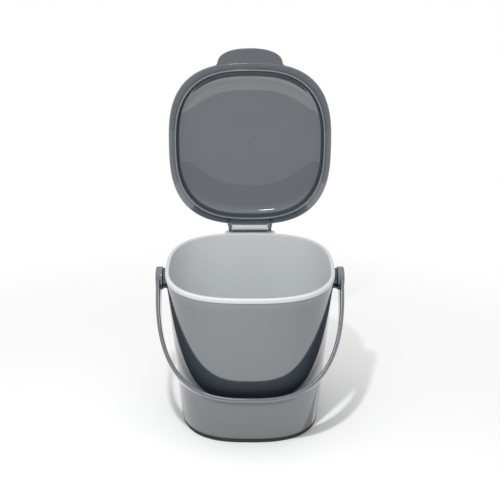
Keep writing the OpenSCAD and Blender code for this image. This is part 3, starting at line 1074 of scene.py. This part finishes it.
def paper_floor(finish):
    """White paper that keeps the caddy's shadow, with plain white where the pool is."""
    material, nodes, links, shader = node_material("studio_paper", finish.paper, 0.9)
    shader.inputs["Specular IOR Level"].default_value = 0.1
    grain = noise(nodes, links, scale=400, detail=2)
    paper = tinted(nodes, links, grain, scaled(finish.paper, 0.99), finish.paper)
    links.new(paper, shader.inputs["Base Color"])
    rays = add(nodes, "ShaderNodeLightPath").outputs
    seen = combined(nodes, links, "MAXIMUM", rays["Is Camera Ray"], rays["Is Glossy Ray"])
    seen = combined(nodes, links, "MAXIMUM", seen, rays["Is Transmission Ray"])
    amount = combined(nodes, links, "MULTIPLY", white_pool(nodes, links), seen)
    glow = add(nodes, "ShaderNodeEmission")
    glow.inputs["Strength"].default_value = 1.0
    mix = add(nodes, "ShaderNodeMixShader")
    links.new(amount, mix.inputs["Fac"])
    links.new(shader.outputs["BSDF"], mix.inputs[1])
    links.new(glow.outputs["Emission"], mix.inputs[2])
    links.new(mix.outputs["Shader"], nodes["Material Output"].inputs["Surface"])
    return material


def studio_world(finish):
    """Even light all round, a little brighter from above."""
    world = bpy.data.worlds.new("studio")
    bpy.context.scene.world = world
    world.use_nodes = True
    nodes = world.node_tree.nodes
    links = world.node_tree.links
    where = add(nodes, "ShaderNodeTexCoord")
    split = add(nodes, "ShaderNodeSeparateXYZ")
    links.new(where.outputs["Generated"], split.inputs["Vector"])
    ramp = add(nodes, "ShaderNodeValToRGB")
    links.new(split.outputs["Z"], ramp.inputs["Fac"])
    for stop, (height, level) in zip(ramp.color_ramp.elements, (SKY_LOW, SKY_HIGH)):
        stop.position = height
        stop.color = (level, level, level, 1)
    sky = nodes["Background"]
    links.new(ramp.outputs["Color"], sky.inputs["Color"])
    sky.inputs["Strength"].default_value = finish.sky


def hang(light, place, aim):
    """Hangs a lamp at place, turned to aim."""
    lamp = bpy.data.objects.new(light.name, light)
    lamp.location = place
    lamp.rotation_euler = (Vector(aim) - Vector(place)).to_track_quat("-Z", "Y").to_euler()
    bpy.context.scene.collection.objects.link(lamp)
    return lamp


class CADDY_OT_studio(bpy.types.Operator):
    """Sets the paper floor, the lights, the room and the camera"""

    bl_idname = "caddy.studio"
    bl_label = "Studio"

    def execute(self, context):
        scene = context.scene
        finish = scene.caddy_finish
        mesh = bpy.data.meshes.new("studio_floor")
        corners = [(-FLOOR_SIDE, FLOOR_FRONT, 0), (FLOOR_SIDE, FLOOR_FRONT, 0),
                   (FLOOR_SIDE, FLOOR_BACK, 0), (-FLOOR_SIDE, FLOOR_BACK, 0)]
        mesh.from_pydata(corners, [], [(0, 1, 2, 3)])
        mesh.materials.append(paper_floor(finish))
        floor = bpy.data.objects.new("studio_floor", mesh)
        scene.collection.objects.link(floor)
        self.add_lights(finish)
        studio_world(finish)
        camera = bpy.data.cameras.new("camera")
        camera.lens = CAMERA_LENS
        camera.sensor_width = CAMERA_SENSOR
        viewer = bpy.data.objects.new("camera", camera)
        viewer.location = CAMERA_PLACE
        viewer.rotation_euler = (CAMERA_TILT, 0, 0)
        scene.collection.objects.link(viewer)
        scene.camera = viewer
        scene.view_settings.view_transform = "Standard"
        return {"FINISHED"}

    def add_lights(self, finish):
        """The key light, which makes the shadow, and a small soft light, which makes the glints."""
        key = bpy.data.lights.new("key", "SPOT")
        key.energy = finish.key_power
        key.shadow_soft_size = KEY_RADIUS
        key.spot_size = KEY_CONE
        key.spot_blend = 1.0
        hang(key, KEY_PLACE, KEY_AIM).visible_glossy = False
        glint = bpy.data.lights.new("glint", "AREA")
        glint.energy = finish.glint_power
        glint.shape = "RECTANGLE"
        glint.size, glint.size_y = GLINT_SIZE
        hang(glint, GLINT_PLACE, GLINT_AIM)


# ---- panel and add-on ----

STEPS = (
    CADDY_OT_outer_shell, CADDY_OT_inner_liner, CADDY_OT_foot_ring, CADDY_OT_lid,
    CADDY_OT_hinge_pin, CADDY_OT_handle, CADDY_OT_studio,
)

GROUPS = {
    "caddy_sizes": CaddySizes,
    "caddy_lid": LidSizes,
    "caddy_handle": HandleSizes,
    "caddy_finish": CaddyFinish,
}


class CADDY_PT_build(bpy.types.Panel):
    """Lists the caddy's pieces and the studio"""

    bl_label = "Compost Caddy"
    bl_idname = "CADDY_PT_build"
    bl_space_type = "VIEW_3D"
    bl_region_type = "UI"
    bl_category = "Caddy"

    def draw(self, context):
        for step in STEPS:
            self.layout.operator(step.bl_idname)
        for group_name, group_class in GROUPS.items():
            group = getattr(context.scene, group_name)
            box = self.layout.box()
            for name in group_class.__annotations__:
                box.prop(group, name)


def register():
    """Registers the sizes, the steps and the panel."""
    for group in GROUPS.values():
        bpy.utils.register_class(group)
    for step in STEPS:
        bpy.utils.register_class(step)
    bpy.utils.register_class(CADDY_PT_build)
    for name, group in GROUPS.items():
        setattr(bpy.types.Scene, name, bpy.props.PointerProperty(type=group))


def unregister():
    """Takes away what register added."""
    for name in GROUPS:
        delattr(bpy.types.Scene, name)
    bpy.utils.unregister_class(CADDY_PT_build)
    for step in reversed(STEPS):
        bpy.utils.unregister_class(step)
    for group in GROUPS.values():
        bpy.utils.unregister_class(group)


def main():
    """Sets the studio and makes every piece."""
    register()
    bpy.ops.caddy.studio()
    bpy.ops.caddy.outer_shell()
    bpy.ops.caddy.inner_liner()
    bpy.ops.caddy.foot_ring()
    bpy.ops.caddy.lid()
    bpy.ops.caddy.hinge_pin()
    bpy.ops.caddy.handle()


if __name__ == "__main__":
    main()
